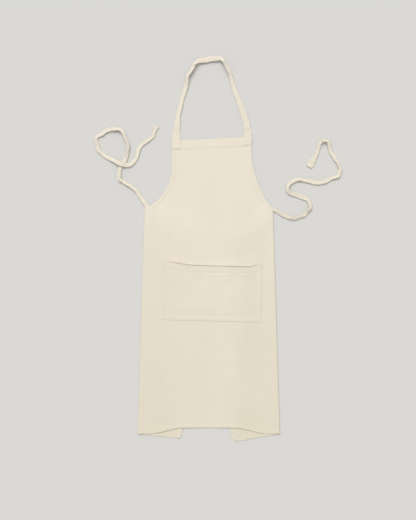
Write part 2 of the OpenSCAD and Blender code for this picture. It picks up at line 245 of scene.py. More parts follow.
class Finish:
    """One material under construction."""

    def __init__(self, name):
        self.material = bpy.data.materials.new(name)
        self.material.use_nodes = True
        self.tree = self.material.node_tree
        self.shader = self.tree.nodes["Principled BSDF"]

    def node(self, kind, settings, *inputs, output=0, **named):
        """A new node: its settings first, then its inputs by order or by name."""
        made = self.tree.nodes.new(kind)
        for key, value in settings.items():
            setattr(made, key, value)
        for key, value in [*enumerate(inputs), *named.items()]:
            self.plug(made.inputs[key], value)
        return Value(self, made.outputs[output])

    def plug(self, socket, value):
        if isinstance(value, Value):
            self.tree.links.new(value.socket, socket)
        else:
            socket.default_value = value

    def axes(self, vector):
        """The three numbers of a vector."""
        split = self.tree.nodes.new("ShaderNodeSeparateXYZ")
        self.plug(split.inputs[0], vector)
        return [Value(self, out) for out in split.outputs]

    def speckle(self, x, y, detail=2.0):
        """Soft random patches, about one unit across."""
        at = self.node("ShaderNodeCombineXYZ", {}, x, y)
        return self.node("ShaderNodeTexNoise", {}, Vector=at, Scale=1.0, Detail=detail)

    def blend(self, amount, first, second):
        """From one colour to another; each is three numbers or another blend."""
        made = self.tree.nodes.new("ShaderNodeMix")
        made.data_type = "RGBA"
        self.plug(made.inputs["Factor"], amount)
        for socket, colour in ((made.inputs[6], first), (made.inputs[7], second)):
            self.plug(socket, colour if isinstance(colour, Value) else (*colour, 1))
        return Value(self, made.outputs[2])

    def done(self, **sockets):
        """Plug in the shader's own sockets, spaces written as underscores."""
        for key, value in sockets.items():
            self.plug(self.shader.inputs[key.replace("_", " ")], value)
        return self.material


print("besides + - and *, a Value has", [name for name in vars(Value) if not name.startswith("_")])

# %% [markdown]
# Linen is a plain weave of uneven yarn: each thread goes over one and under the next, and some
# stretches of it are thicker. The weave follows the cloth, not the world, so it reads the sheet's
# own UV map, which is laid out in metres. Two slow patterns on the object itself add cloudy
# patches, and a tone that is paler towards the bib and deeper towards the hem, over the folded
# sides and to the right.

# %% Weave the linen
THREAD_PITCH = 0.00062
YARN_LONG = 22.0
YARN_ACROSS = 420.0

# Each tone is a pair of colours, darker and lighter; the yarn's uneven tone mixes them, and the gaps of
# the weave lean to the darker one as painted shade between the threads
PALE = ((0.680, 0.600, 0.480), (0.859, 0.800, 0.690))
DEEP = ((0.625, 0.553, 0.423), (0.787, 0.730, 0.604))

# The share of the pale tone at the origin, and how it changes upwards on the cloth and on the
# straps, over the folded flanks, and to the right
PALE_SHARE = 0.78
FADE_CLOTH = 0.95
FADE_STRAPS = 0.2
FADE_OVER_FLANKS = 0.31
FADE_RIGHT = 0.35
FLANKS_FROM = 0.06


def linen(name, fade_up=FADE_CLOTH):
    """Linen between the deep and the pale tone."""
    made = Finish(name)
    u, v, _ = made.axes(made.node("ShaderNodeUVMap", {"uv_map": "cloth"}))
    warp = (u * (math.pi / THREAD_PITCH)).sine()
    weft = (v * (math.pi / THREAD_PITCH)).sine()
    over = (warp * weft * 1.5 + 0.5).clamp()
    warp_yarn = made.speckle(u * YARN_ACROSS, v * YARN_LONG)
    weft_yarn = made.speckle(u * YARN_LONG, v * YARN_ACROSS)
    yarn = over * warp_yarn + (1 - over) * weft_yarn
    height = over * abs(warp) + (1 - over) * abs(weft) + yarn * 0.9
    x, y, _ = made.axes(made.node("ShaderNodeTexCoord", {}, output=3))
    cloud = made.speckle(x * 9.0, y * 6.0, 4.0)
    # Painted shade: the weave's height makes the gaps between the threads a little darker
    tone = (yarn * 0.50 + cloud * 0.35 + height * 0.10 + 0.05).clamp()
    off_middle = x - PLACE.x
    covered = ((abs(off_middle) - FLANKS_FROM) * 18.0).clamp() * (0.8 - y * 5.0).clamp()
    pale = PALE_SHARE + y * fade_up - covered * FADE_OVER_FLANKS - off_middle * FADE_RIGHT
    normal = made.node("ShaderNodeBump", {}, Strength=0.5, Distance=0.00018, Height=height)
    return made.done(
        Base_Color=made.blend(pale.clamp(), made.blend(tone, *DEEP), made.blend(tone, *PALE)),
        Roughness=0.95 - yarn * 0.12,
        Normal=normal,
        Sheen_Weight=0.15,
        Sheen_Roughness=0.55,
        Specular_IOR_Level=0.25,
    )


def cotton_thread(name, dark, light):
    """Sewing thread: two plies twisted, seen as slanting stripes along each stitch; the grooves between the
    plies are painted darker, as painted shade.
    """
    made = Finish(name)
    x, y, z = made.axes(made.node("ShaderNodeTexCoord", {}, output=3))
    # The twist is the plies' height; it also paints the colour, dark in the grooves between the plies as
    # painted shade and light on their crests
    twist = ((x + y * 0.8 + z) * 9000.0).sine() * 0.5 + 0.5
    normal = made.node("ShaderNodeBump", {}, Strength=0.4, Distance=0.0001, Height=twist)
    return made.done(
        Base_Color=made.blend(twist, dark, light),
        Roughness=0.75 + twist * 0.1,
        Normal=normal,
        Sheen_Weight=0.1,
    )


CLOTH = linen("washed_linen")
HEMMED = linen("hem_linen")
TAPE = linen("strap_linen", FADE_STRAPS)
THREAD = cotton_thread("sewing_thread", (0.66, 0.57, 0.43), (0.80, 0.72, 0.58))
print("materials", [m.name for m in (CLOTH, HEMMED, TAPE, THREAD)])

# %% [markdown]
# A sheet starts as a grid: rows of points with the same number of columns. Modelling a whole apron
# by pulling single vertices would never end, so the grid is made in mesh code, with its UV map,
# and Solidify gives it the thickness of the cloth on both sides of the grid.

# %% Make a sheet from a grid of points
def select_only(obj):
    bpy.ops.object.select_all(action="DESELECT")
    obj.select_set(True)
    bpy.context.view_layer.objects.active = obj


def mesh_object(name, points, faces, uv, material):
    """An object from points in the drawing, moved to their place in the frame."""
    mesh = bpy.data.meshes.new(name)
    mesh.from_pydata((np.asarray(points) + np.array(PLACE)).tolist(), [], faces)
    layer = mesh.uv_layers.new(name="cloth")
    corners = np.empty(len(mesh.loops), int)
    mesh.loops.foreach_get("vertex_index", corners)
    layer.data.foreach_set("uv", np.asarray(uv, np.float32)[corners].ravel())
    mesh.materials.append(material)
    obj = bpy.data.objects.new(name, mesh)
    bpy.context.scene.collection.objects.link(obj)
    return obj


def grid_faces(rows, columns, wrap=False):
    """The faces of a grid; wrap joins its last column to its first."""
    span = columns if wrap else columns - 1
    return [
        (j * columns + i, j * columns + (i + 1) % columns,
         (j + 1) * columns + (i + 1) % columns, (j + 1) * columns + i)
        for j in range(rows - 1) for i in range(span)
    ]


def soften(obj, degrees=50):
    """Shade smooth, apart from edges sharper than that."""
    select_only(obj)
    bpy.ops.object.shade_smooth_by_angle(angle=math.radians(degrees))


def cloth_sheet(name, x, y, z, u, v, thickness, material, flip=False):
    """A sheet with its middle on the grid x, y, z (rows by columns) and its threads along u, v."""
    points = np.stack([x, y, z], -1).reshape(-1, 3)
    faces = grid_faces(*x.shape)
    if flip:
        faces = [face[::-1] for face in faces]
    obj = mesh_object(name, points, faces, np.stack([u, v], -1).reshape(-1, 2), material)
    select_only(obj)
    wall = obj.modifiers.new("wall", "SOLIDIFY")
    wall.thickness = thickness
    wall.offset = 0
    bpy.ops.object.modifier_apply(modifier="wall")
    soften(obj)
    return obj


def steps(*stops):
    """Positions from stop to stop: (first, (next, spacing), ...)."""
    places = [stops[0]]
    for end, spacing in stops[1:]:
        count = max(1, round((end - places[-1]) / spacing))
        start = places[-1]
        places += [start + (end - start) * (k + 1) / count for k in range(count)]
    return np.array(places)


def wander(x, y, size_x, size_y, seed):
    """Smooth random hills between -1 and 1, as wide and as long as the two sizes."""
    flat = [
        noise.noise(Vector((a / size_x, b / size_y, seed)))
        for a, b in zip(x.ravel().tolist(), y.ravel().tolist())
    ]
    return np.array(flat).reshape(x.shape) * 1.4


print("0.1 m in 3 mm steps:", len(steps(0, (0.1, 0.003))), "rows")

# %% [markdown]
# How high the front lies is the heart of the model. Over each folded flank it rests on the layers
# below, highest where the cloth rolls over at the fold; between the flanks and over the bib it
# sinks to the surface. Hems add a step of one layer, a seam pulls a narrow groove with a slight
# pucker into them, and washed linen never lies quite flat, so slow waves run over everything.
# Along the pocket's mouth the front buckles up a little, as it does where a lip hangs slack.

# %% Work out how high the front lies
# The middle of the cloth under and over a fold, where the front rests on the surface, and where
# it lies on a flank, on the hidden end of a tie and on that end beside the waist corner
Z_FOLD_LOW = CLOTH_T / 2
Z_FOLD_HIGH = 0.0045
Z_RESTING = 0.0005
Z_OVER_FLANK = 0.0026
Z_OVER_TIE = 0.0037
Z_OVER_CORNER = 0.0046

# How far the tie's end lies inside the flank's edges
ROOT_IN = 0.002

# A seam's groove and its puckers: how deep and how wide
GROOVE = 0.00028
GROOVE_W = 0.0011
PUCKER = 0.00022
PUCKER_W = 0.0045


def hem_step(gap, band):
    """The step of a turned hem, at a distance gap from the edge."""
    return CLOTH_T * (1 - smooth((gap - band + 0.001) / 0.0035))


def seam_dent(gap, inset, along):
    """The groove of a seam that runs inset from the edge, and the puckers beside it."""
    wave = np.sin(along * 620 + 2.2 * np.sin(along * 47))
    return PUCKER * wave * bump(gap, inset, PUCKER_W) - GROOVE * bump(gap, inset, GROOVE_W)


# Past a flank's edge the front slopes down over the long distance, and a share over the short one
DROP_LONG = 0.065
DROP_SHORT = 0.009
SHORT_SHARE = 0.16


def flank_cover(side, x, y):
    """Height of the front over one flank, and how far a flank holds it up there."""
    s, t = to_fold(side, x, y)
    width = FLANK_W[side]
    top = flank_top(side, np.clip(s, 0, width))
    outside = np.hypot(np.maximum(s - width, 0), np.maximum(t - top, 0))
    held = 1 - mix(smooth(outside / DROP_LONG), smooth(outside / DROP_SHORT), SHORT_SHARE)
    over_tie = mix(Z_OVER_CORNER, Z_OVER_TIE, smooth((s - 0.014) / 0.020))
    inner = mix(over_tie, Z_OVER_FLANK, smooth((top - t - 0.024) / 0.035))
    return mix(Z_FOLD_HIGH, inner, smooth((s - 0.003) / 0.018)), held


def seat_cover(x, y):
    """1 over the two strap ends that are sewn behind the bib."""
    cover = 0
    for side in SIDES:
        inside = side * (BIB_X[side] - x)
        near = smooth((0.030 - inside) / 0.006)
        cover = cover + near * smooth((y - bib_y(x) + STRAP_SEAT + 0.004) / 0.006)
    return cover


print(f"the front lies {1000 * Z_OVER_FLANK:.1f} mm up on a flank and {1000 * Z_FOLD_HIGH:.1f} on a fold")

# %% Buckle the front along the pocket's lip
POCKET_W = 0.296
POCKET_H = 0.172
POCKET_MIDDLE = Vector((0.010, 0.320 + POCKET_H / 2))
POCKET_TURN = math.radians(-1.5)

# The lip's sag, and the ridge above it: where it starts and peaks, how high it is and how it fades
LIP_SAG = 0.0095
LIP_VALLEY = 0.0012
LIP_CREST = 0.0042
LIP_BUCKLE = 0.0019
LIP_FADE = 0.009


def to_pocket(x, y):
    """A point of the apron's drawing, measured from the pocket's lower left corner."""
    a, b = x - POCKET_MIDDLE.x, y - POCKET_MIDDLE.y
    cos, sin = math.cos(POCKET_TURN), math.sin(POCKET_TURN)
    return a * cos + b * sin + POCKET_W / 2, b * cos - a * sin + POCKET_H / 2


def lip_sag(p):
    """How far the pocket's lip hangs below the line between its corners."""
    return LIP_SAG * smooth(p / 0.10) * smooth((POCKET_W - p) / 0.045)


def lip_ridge(x, y):
    """The front buckles up in a low ridge along the pocket's slack lip."""
    p, q = to_pocket(x, y)
    above = q - POCKET_H + lip_sag(p)
    ends = smooth((p - 0.004) / 0.030) * smooth((POCKET_W - p - 0.004) / 0.020)
    rise = smooth((above - LIP_VALLEY) / (LIP_CREST - LIP_VALLEY))
    return LIP_BUCKLE * ends * rise * np.exp(-np.maximum(above - LIP_CREST, 0) / LIP_FADE)


print(f"pocket {POCKET_W:.3f} x {POCKET_H:.3f} m, its lip sags {1000 * LIP_SAG:.1f} mm")

# %% Add up the front's height
WAVES = 0.0012
RIPPLES = 0.00035
STRAP_LIFT = STRAP_T + 0.0002


def front_z(x, y, seams=True):
    """Height of the middle of the front's cloth."""
    z = np.full(np.shape(x), Z_RESTING)
    for side in SIDES:
        height, held = flank_cover(side, x, y)
        z = mix(z, height, held)
    from_hem, from_top = y - hem_y(x), bib_y(x) - y
    arm = np.minimum(side_gap(-1, x, y), side_gap(1, x, y))
    arm = np.where(y < SKIRT_H - 0.03, 1.0, arm)
    hems = np.maximum(hem_step(from_hem, HEM_BAND), hem_step(from_top, BIB_BAND))
    z = z + np.maximum(hems, hem_step(arm, HEM_BAND)) + STRAP_LIFT * seat_cover(x, y)
    if seams:
        z = z + seam_dent(from_hem, SEAM_IN, x) + seam_dent(from_top, BIB_BAND - BAND_SEAM, x)
        z = z + seam_dent(arm, SEAM_IN, y)
    at_fold = np.minimum(abs(x - side_x(-1, y)), abs(x - side_x(1, y)))
    free = mix(smooth(at_fold / 0.02), 1, y > SKIRT_H + 0.02)
    waves = 0.5 + 0.5 * wander(x, y, 0.075, 0.21, 1.5)
    ripples = 0.5 + 0.5 * wander(x, y, 0.028, 0.034, 7.5)
    return z + free * (WAVES * waves + RIPPLES * ripples) + lip_ridge(x, y)


sample = np.array([-HEM_HALF, 0.0, HEM_HALF]) * 0.95
print("the front's height at its left, middle and right:", front_z(sample, 0 * sample + 0.25).round(4))

# %% [markdown]
# The front itself: rows run from hem to bib, closer together where a hem or a seam needs them.
# Each row spans from one side of the outline to the other, so the grid's own border is the cut
# edge of the cloth, round armholes included.

# %% Lay the front
def front_grid():
    """The front's points in the drawing, each row from side to side."""
    rows = steps(0, (0.014, 0.0014), (0.470, 0.0038), (0.510, 0.0011), (SKIRT_H, 0.0038),
                 (BIB_TOP - 0.030, 0.0036), (BIB_TOP, 0.0016))
    border = steps(0, (0.014, 0.0014))
    inner = np.linspace(0, 1, 118)[1:-1]
    y0 = rows[:, None]
    left, right = side_x(-1, y0), side_x(1, y0)
    x = np.concatenate([
        left + border, mix(left + border[-1], right - border[-1], inner), right - border[::-1]
    ], axis=1)
    share = (x - left) / (right - left)
    y = y0 + hem_y(x) * (1 - smooth(y0 / 0.15)) + (bib_y(x) - BIB_TOP) * smooth((y0 - 0.70) / 0.10)
    left, right = side_x(-1, y), side_x(1, y)
    return left + (right - left) * share, y


x, y = front_grid()
front = cloth_sheet("front_cloth", x, y, front_z(x, y), x, y, CLOTH_T, CLOTH)
print("front:", len(front.data.polygons), "faces")

# %% [markdown]
# Each flank is the part of the same cloth that is turned behind. Its grid starts on the front's
# side of the fold, rolls through a half turn and then lies flat on the surface.

# %% Fold the flanks behind
# The roll's radius and axis, and a height low in the roll
ROLL = (Z_FOLD_HIGH - Z_FOLD_LOW) / 2
Z_AXIS = (Z_FOLD_HIGH + Z_FOLD_LOW) / 2
Z_TURNED = 0.0013

# How far the flank reaches from its fold at its lower corner and just above it, and how far its
# bottom edge bellies down beside that corner
EDGE_LOW = {-1: 0.125, 1: 0.1345}
EDGE_HIGH = {-1: 0.130, 1: 0.1460}
HEM_BELLY = {-1: 0.0005, 1: 0.0026}

FLANK_WAVES = 0.0004


def flank_z(side, s, t):
    """Height of the middle of the flank's cloth, where it lies flat."""
    lift = FLANK_WAVES * (0.5 + 0.5 * wander(s + side, t, 0.05, 0.12, 4.5))
    return Z_FOLD_LOW + lift * smooth(s / 0.02)


def on_fold(side, s, t):
    """A point of a flank in the drawing; its lower inner corner is drawn back a little."""
    edge = mix(EDGE_LOW[side], EDGE_HIGH[side], smooth((t + FLANK_SLANT[side]) / 0.020))
    hang = HEM_BELLY[side] * bump(s, 0.112, 0.020) * (1 - smooth(t / 0.05))
    return from_fold(side, np.where(s > 0, s * edge / FLANK_W[side], s), t - hang)


def make_flank(side):
    """One flank: its roll round the fold, then its flat part."""
    width = FLANK_W[side]
    turn = np.linspace(0, math.pi, 11)[:-1]
    flat = steps(0, (width - 0.012, 0.0042), (width, 0.0020))
    s = np.concatenate([-ROLL * np.sin(turn), flat])
    run = np.concatenate([ROLL * turn, math.pi * ROLL + flat])
    rolled = np.concatenate([turn / math.pi, np.ones(len(flat))])
    inside = np.maximum(s, 0)
    bottom = np.where(rolled < 1, flank_hem(side, 0) * rolled, flank_hem(side, inside))
    top = np.where(rolled < 1, FOLD_LEN - CORNER_EASE * rolled, flank_top(side, inside))
    share = steps(0, (0.02, 0.0025), (1, 0.0055))[:, None]
    t = mix(bottom, top, share)
    s = np.broadcast_to(s, t.shape)
    roll_z = np.broadcast_to(np.concatenate([Z_AXIS + ROLL * np.cos(turn), flat * 0]), t.shape)
    z = np.where(np.broadcast_to(rolled, t.shape) < 1, roll_z, flank_z(side, np.maximum(s, 0), t))
    x, y = on_fold(side, s, t)
    u = np.broadcast_to(side * (HEM_HALF + run), t.shape)
    return cloth_sheet(f"{SIDES[side]}_flank_cloth", x, y, z, u, t, CLOTH_T, CLOTH, flip=side < 0)


flanks = {side: make_flank(side) for side in SIDES}
print("flanks:", [len(o.data.polygons) for o in flanks.values()], "faces")

# %% [markdown]
# A hem is the cloth's own edge turned in twice and sewn. From the face it shows as a step and a
# row of stitches, from behind as a band. The bands are separate strips: under the front's edge,
# and on top of the flanks', where they show below the front's hem.

# %% Turn the hems
def offset_line(line, inset):
    """A line of points moved to its left by inset."""
    along = np.gradient(line, axis=0)
    along /= np.linalg.norm(along, axis=1)[:, None]
    return line + inset * np.stack([-along[:, 1], along[:, 0]], -1)


def strip(name, outer, inner, height, thickness, material, columns=6):
    """A flat band between two lines of points, at the height that a function gives."""
    share = np.linspace(0, 1, columns)[None, :, None]
    plan = mix(outer[:, None, :], inner[:, None, :], share)
    x, y = plan[..., 0], plan[..., 1]
    length = np.concatenate([[0], np.cumsum(np.linalg.norm(np.diff(outer, axis=0), axis=1))])
    v = np.broadcast_to(length[:, None], x.shape)
    u = np.broadcast_to(share[..., 0] * np.linalg.norm(inner[0] - outer[0]), x.shape)
    return cloth_sheet(name, x, y, height(x, y), u, v, thickness, material, flip=True)


def under_front(depth):
    """Height of a layer that lies depth below the middle of the front's cloth."""
    return lambda x, y: np.maximum(front_z(x, y, seams=False) - depth, CLOTH_T / 2)


# A hem's strip starts this far inside the edge, and inside a slanted one
EDGE_IN = 0.0005
SLANT_IN = 0.0006


def bib_hem():
    x = np.linspace(BIB_X[-1] + SLANT_IN, BIB_X[1] - SLANT_IN, 90)
    top = np.stack([x, bib_y(x) - 0.0004], -1)
    return strip("bib_hem_band", top, top - [0, BIB_BAND], under_front(CLOTH_T), HEM_T, HEMMED, 12)


def armhole_line(side, top):
    """The armhole and the bib's side, from the waist corner up to height top."""
    y = steps(SKIRT_H, (top, 0.003))
    return np.stack([side_x(side, y), y], -1)


def armhole_hem(side):
    edge = armhole_line(side, BIB_TOP - BIB_BAND - BIB_RISE)
    outer, inner = (offset_line(edge, side * inset) for inset in (EDGE_IN, HEM_BAND))
    return strip(f"{SIDES[side]}_armhole_hem_band", outer, inner, under_front(CLOTH_T), HEM_T, HEMMED)


def bottom_hem():
    x = np.linspace(-HEM_HALF + HEM_BAND, HEM_HALF - HEM_BAND, 130)
    low = np.stack([x, hem_y(x) + EDGE_IN], -1)
    return strip("front_hem_band", low, low + [0, HEM_BAND], under_front(CLOTH_T), HEM_T, HEMMED)


front_hems = {"bib": bib_hem(), "bottom": bottom_hem(), -1: armhole_hem(-1), 1: armhole_hem(1)}
print("hems under the front:", [o.name for o in front_hems.values()])


# %% Turn the flanks' hems
def on_flank(side, layers, over_hem=0.0):
    """Height of the middle of a layer on a flank, where it may also cross the bottom hem."""

    def height(x, y):
        s, t = to_fold(side, x, y)
        crossing = 1 - smooth((t - flank_hem(side, s) - HEM_BAND + 0.001) / 0.004)
        return flank_z(side, s, t) + layers + over_hem * crossing

    return height


def flank_line(side, s, t):
    """A line of points on the flank, in the drawing."""
    return np.stack(on_fold(side, s, t), -1)


def flank_hems(side):
    """The strips along a flank's bottom, side and top."""
    width, name = FLANK_W[side], SIDES[side]
    s = np.linspace(EDGE_IN, width - EDGE_IN, 44)
    low = flank_hem(side, s) + EDGE_IN
    t_low, t_high = flank_hem(side, width) + SLANT_IN, flank_top(side, width) - HEM_BAND
    t = steps(t_low, (0.02, 0.002), (t_high, 0.005))
    edge = np.full_like(t, width - EDGE_IN)
    arc = np.linspace(2 * HEM_BAND, width - 0.001, 40)
    slope = np.gradient(flank_top(side, arc), arc)
    down = np.stack([slope, -np.ones_like(slope)]) / np.hypot(slope, 1)
    top = flank_top(side, arc) - SLANT_IN
    lines = {
        "bottom": ((s, low), (s, low + HEM_BAND)),
        "side": ((edge, t), (edge - HEM_BAND, t)),
        "top": ((arc, top), (arc + down[0] * HEM_BAND, top + down[1] * HEM_BAND)),
    }
    hems = {}
    for place, (outer, inner) in lines.items():
        height = on_flank(side, CLOTH_T, CLOTH_T if place == "side" else 0)
        hems[place] = strip(f"{name}_flank_{place}_hem_band", flank_line(side, *outer),
                            flank_line(side, *inner), height, HEM_T, HEMMED)
    return hems


side_hems = {side: flank_hems(side) for side in SIDES}
print("hems on the flanks:", [o.name for hems in side_hems.values() for o in hems.values()])

# %% [markdown]
# The pocket is a patch sewn on three sides. Its cloth is a little fuller than the front behind it,
# so inside its seam it swells, and its lip hangs slack: it gapes and sags in the middle. The slack
# gathers into a few shallow smiles under the lip and a short pleat in it, and the seam pulls small
# puckers into the edge.

# %% Shape the pocket's slack
POCKET_BAND = 0.017
POCKET_BORDER = 0.008
POCKET_SEAM = 0.0028
LIP_GAPE = 0.0036
POCKET_WAVES = 0.0009

# The pleat: its place across the pocket, its slant, its width and its height
PLEAT_AT = 0.066
PLEAT_SLANT = 0.4
PLEAT_WIDE = 0.0032
PLEAT_HIGH = 0.0020

# Each smile: its middle across the pocket, its depth below the lip, its reach and its height.
# They share one width, and all rise by the same amount from their middle to their ends
SMILE_WIDE = 0.0042
SMILE_CURVE = 0.006
SMILES = [
    (0.165, 0.028, 0.045, 0.0010), (0.175, 0.040, 0.032, 0.0007),
    (0.072, 0.012, 0.014, -0.0013), (0.245, 0.024, 0.030, 0.0006),
]


def at_pocket(p, q):
    """A point of the pocket, from its lower left corner, in the apron's drawing."""
    a, b = p - POCKET_W / 2, q - POCKET_H / 2
    cos, sin = math.cos(POCKET_TURN), math.sin(POCKET_TURN)
    return POCKET_MIDDLE.x + a * cos - b * sin, POCKET_MIDDLE.y + a * sin + b * cos


def pocket_swell(p, q):
    """How far the pocket stands off the front."""
    side = np.minimum(p, POCKET_W - p) - POCKET_BORDER
    up = np.clip((q - POCKET_BORDER) / (POCKET_H - POCKET_BORDER), 0, 1)
    swell = LIP_GAPE * smooth(side / 0.050) * (0.30 * smooth(up / 0.25) + 0.70 * up ** 4)
    slack = smooth(side / 0.03) * smooth(up / 0.2)
    smiles = 0
    for middle, depth, reach, height in SMILES:
        line = POCKET_H - depth + SMILE_CURVE * ((p - middle) / reach) ** 2
        smiles = smiles + height * bump(q, line, SMILE_WIDE) * bump(p, middle, reach)
    pleat = bump(p, PLEAT_AT + PLEAT_SLANT * (POCKET_H - q), PLEAT_WIDE) * smooth((up - 0.86) / 0.08)
    waves = 0.5 + 0.5 * wander(p, q, 0.050, 0.040, 11.5)
    return swell + slack * (smiles + PLEAT_HIGH * pleat + POCKET_WAVES * waves)


def pocket_place(p, q):
    """Where a point of the pocket lies, with the sag of its lip, and its height."""
    x, y = at_pocket(p, q - lip_sag(p) * smooth((q / POCKET_H - 0.40) / 0.60))
    return x, y, front_z(x, y, seams=False) + CLOTH_T + pocket_swell(p, q)


def pocket_grid(p, q):
    """The pocket's points with its turned edge, its lip's hem and its seams, and their p and q."""
    p, q = np.meshgrid(p, q)
    x, y, z = pocket_place(p, q)
    edge = np.minimum(np.minimum(p, POCKET_W - p), q)
    turned = CLOTH_T * (1 - smooth((edge - 0.009) / 0.003)) * 0.5
    band = CLOTH_T * 0.6 * smooth((q - POCKET_H + POCKET_BAND + 0.001) / 0.002)
    dents = seam_dent(edge, POCKET_SEAM, p + q) + seam_dent(POCKET_H - q, POCKET_BAND - BAND_SEAM, p)
    return x, y, z + turned + band + dents, p, q


swells = pocket_swell(np.full(3, POCKET_W / 2), POCKET_H * np.array([0.2, 0.6, 1.0]))
print("the pocket stands off low, in the middle and at its lip:", swells.round(4))

# %% Sew on the pocket
across = steps(0, (0.012, 0.0012), (POCKET_W - 0.012, 0.0026), (POCKET_W, 0.0012))
upward = steps(0, (0.012, 0.0012), (POCKET_H - 0.020, 0.0026), (POCKET_H, 0.0012))
pocket = cloth_sheet("pocket_cloth", *pocket_grid(across, upward), CLOTH_T, CLOTH)

# How far the lip's turned hem stays away from the pocket's sides
LINING_IN = 0.014


def pocket_lining():
    """The lip's hem, turned to the inside of the mouth."""
    p = steps(LINING_IN, (POCKET_W - LINING_IN, 0.0040))
    q = steps(POCKET_H - POCKET_BAND, (POCKET_H - 0.0004, 0.0024))
    x, y, z, p, q = pocket_grid(p, q)
    room = smooth((np.minimum(p, POCKET_W - p) - LINING_IN) / 0.02)
    return cloth_sheet("pocket_lip_hem", x, y, z - mix(0.0002, 0.0008, room), p, q, 0.0006, HEMMED)


lip_hem = pocket_lining()
print("pocket:", len(pocket.data.polygons), "faces")

# %% [markdown]
# The neck strap and the ties are narrow bands, folded to four layers and sewn along both edges. They
# have been washed and tied many times, so they no longer lie open: their edges fold under, now on
# one side and now on the other, and in a tight curve they stand half on edge. Each is swept along
# a short listed route: place, lift off the surface, tilt about its own length, and how
# much of its width it shows. A spline through the route keeps the curves loose.

# %% Draw a loose curve through a route
def spline(route, spacing):
    """Catmull-Rom through the route's points, then evenly spaced along its length."""
    pts = np.array(route, float)
    fine = []
    for i in range(len(pts) - 1):
        a, b, c, d = (pts[min(max(i + k, 0), len(pts) - 1)] for k in (-1, 0, 1, 2))
        t = np.linspace(0, 1, 12, endpoint=False)[:, None]
        fine.append(0.5 * (2 * b + (c - a) * t + (2 * a - 5 * b + 4 * c - d) * t ** 2
                           + (3 * b - a - 3 * c + d) * t ** 3))
    fine = np.concatenate([*fine, pts[-1:]])
    run = np.concatenate([[0], np.cumsum(np.linalg.norm(np.diff(fine[:, :2], axis=0), axis=1))])
    even = np.linspace(0, run[-1], round(run[-1] / spacing) + 1)
    return np.stack([np.interp(even, run, fine[:, k]) for k in range(fine.shape[1])], -1), even


short_run = spline([(0, 0), (0.04, 0.03), (0.05, 0.08)], 0.0026)[1]
print(f"a short route of {1000 * short_run[-1]:.0f} mm has {len(short_run)} even points")

# %% Fold the edges of a band under
# The least width it shows lying flat; below that it stands on edge. Each fold takes FOLD_SHARE of
# the width and turns by FOLD_TURN, or by less where it has under FULL_PART to turn. A tilt of
# LEAN_FULL degrees puts all that is folded on one side, and the band rolls by ROLL_SHARE of it
NARROWEST = 0.0104
FOLD_SHARE = 0.12
FOLD_TURN = math.radians(170)
FULL_PART = 0.13
LEAN_FULL = 30
ROLL_SHARE = 0.2


def band_section(shown, tilt, share):
    """The middle line of the band's section and its normals, as sideways and up.
    Where it shows less than its full width, the rest is folded under at its edges."""
    shown = min(shown, STRAP_W)
    under = 1 - max(shown, NARROWEST) / STRAP_W
    lean = min(max(tilt / LEAN_FULL, -1), 1)
    angle = np.zeros_like(share)
    for side in (-1, 1):
        part = under * (1 + side * lean) / 2
        turned = smooth(0.5 + (side * share - 0.5 + part) / FOLD_SHARE)
        angle = angle - side * FOLD_TURN * turned * smooth(part / FULL_PART)
    roll = math.radians(tilt * ROLL_SHARE)
    if shown < NARROWEST:
        roll += math.copysign(math.acos(shown / NARROWEST), tilt)
    angle = angle + roll
    middle = (angle[1:] + angle[:-1]) / 2
    step = STRAP_W * np.diff(share)
    x = np.concatenate([[0], np.cumsum(np.cos(middle) * step)])
    y = np.concatenate([[0], np.cumsum(np.sin(middle) * step)])
    return np.stack([x, y], -1), np.stack([-np.sin(angle), np.cos(angle)], -1)


narrow = np.ptp(band_section(0.012, 0, np.linspace(-0.5, 0.5, 27))[0][:, 0])
print(f"told to show 12 mm, the band's middle line spans {1000 * narrow:.1f} mm")

# %% Sweep a curled band along a route
BAND_CELLS = 26
RING_GAP = 0.0026

# How far a band's width, its tilt in degrees and its line wander, the line only past its start
WIDTH_WANDERS = 0.0018
TILT_WANDERS = 9
LINE_WANDERS = 0.0016
STEADY = 0.03

# The height of its small pleats, and its seams' dent and their place, with the middle at 0
BAND_PLEAT = 0.00022
BAND_DENT = 0.00022
BAND_DENT_AT = 0.42


def band_rings(route, seed):
    """The rings of a band, the same band as a grid over its upper side, and its run."""
    line, run = spline(route, RING_GAP)
    share = np.linspace(-0.5, 0.5, BAND_CELLS + 1)
    edge = STRAP_T / 2 * (1 - 0.55 * abs(2 * share) ** 10)
    ahead = np.gradient(line[:, :2], axis=0)
    ahead /= np.linalg.norm(ahead, axis=1)[:, None]
    rings, tops = [], []
    for i, (x, y, lift, tilt, wide) in enumerate(line):
        wobble = noise.noise(Vector((run[i] * 45, seed, 0.5)))
        crease = noise.noise(Vector((run[i] * 110, seed, 9.5)))
        jog = LINE_WANDERS * noise.noise(Vector((run[i] * 60, seed, 21.5))) * min(run[i] / STEADY, 1)
        pleat = BAND_PLEAT * np.sin(share * 15 + 6 * wobble) * (1 + crease)
        sewn = -BAND_DENT * bump(abs(share), BAND_DENT_AT, 0.035)
        shown = wide + WIDTH_WANDERS * wobble
        line_at, normal = band_section(shown, tilt + TILT_WANDERS * crease, share)
        upper = line_at + normal * (edge + pleat + sewn)[:, None]
        lower = line_at + normal * (pleat - edge - sewn)[:, None]
        ring = np.concatenate([upper, lower[::-1]])
        middle = (ring[:, 0].min() + ring[:, 0].max()) / 2
        side = np.array([-ahead[i, 1], ahead[i, 0]])

        def place(section):
            plan = np.array([x, y]) + (section[:, :1] - middle + jog) * side
            return np.concatenate([plan, section[:, 1:] - ring[:, 1].min() + max(lift, 0)], axis=1)

        rings.append(place(ring))
        tops.append(place(upper))
    return np.array(rings), np.array(tops), run


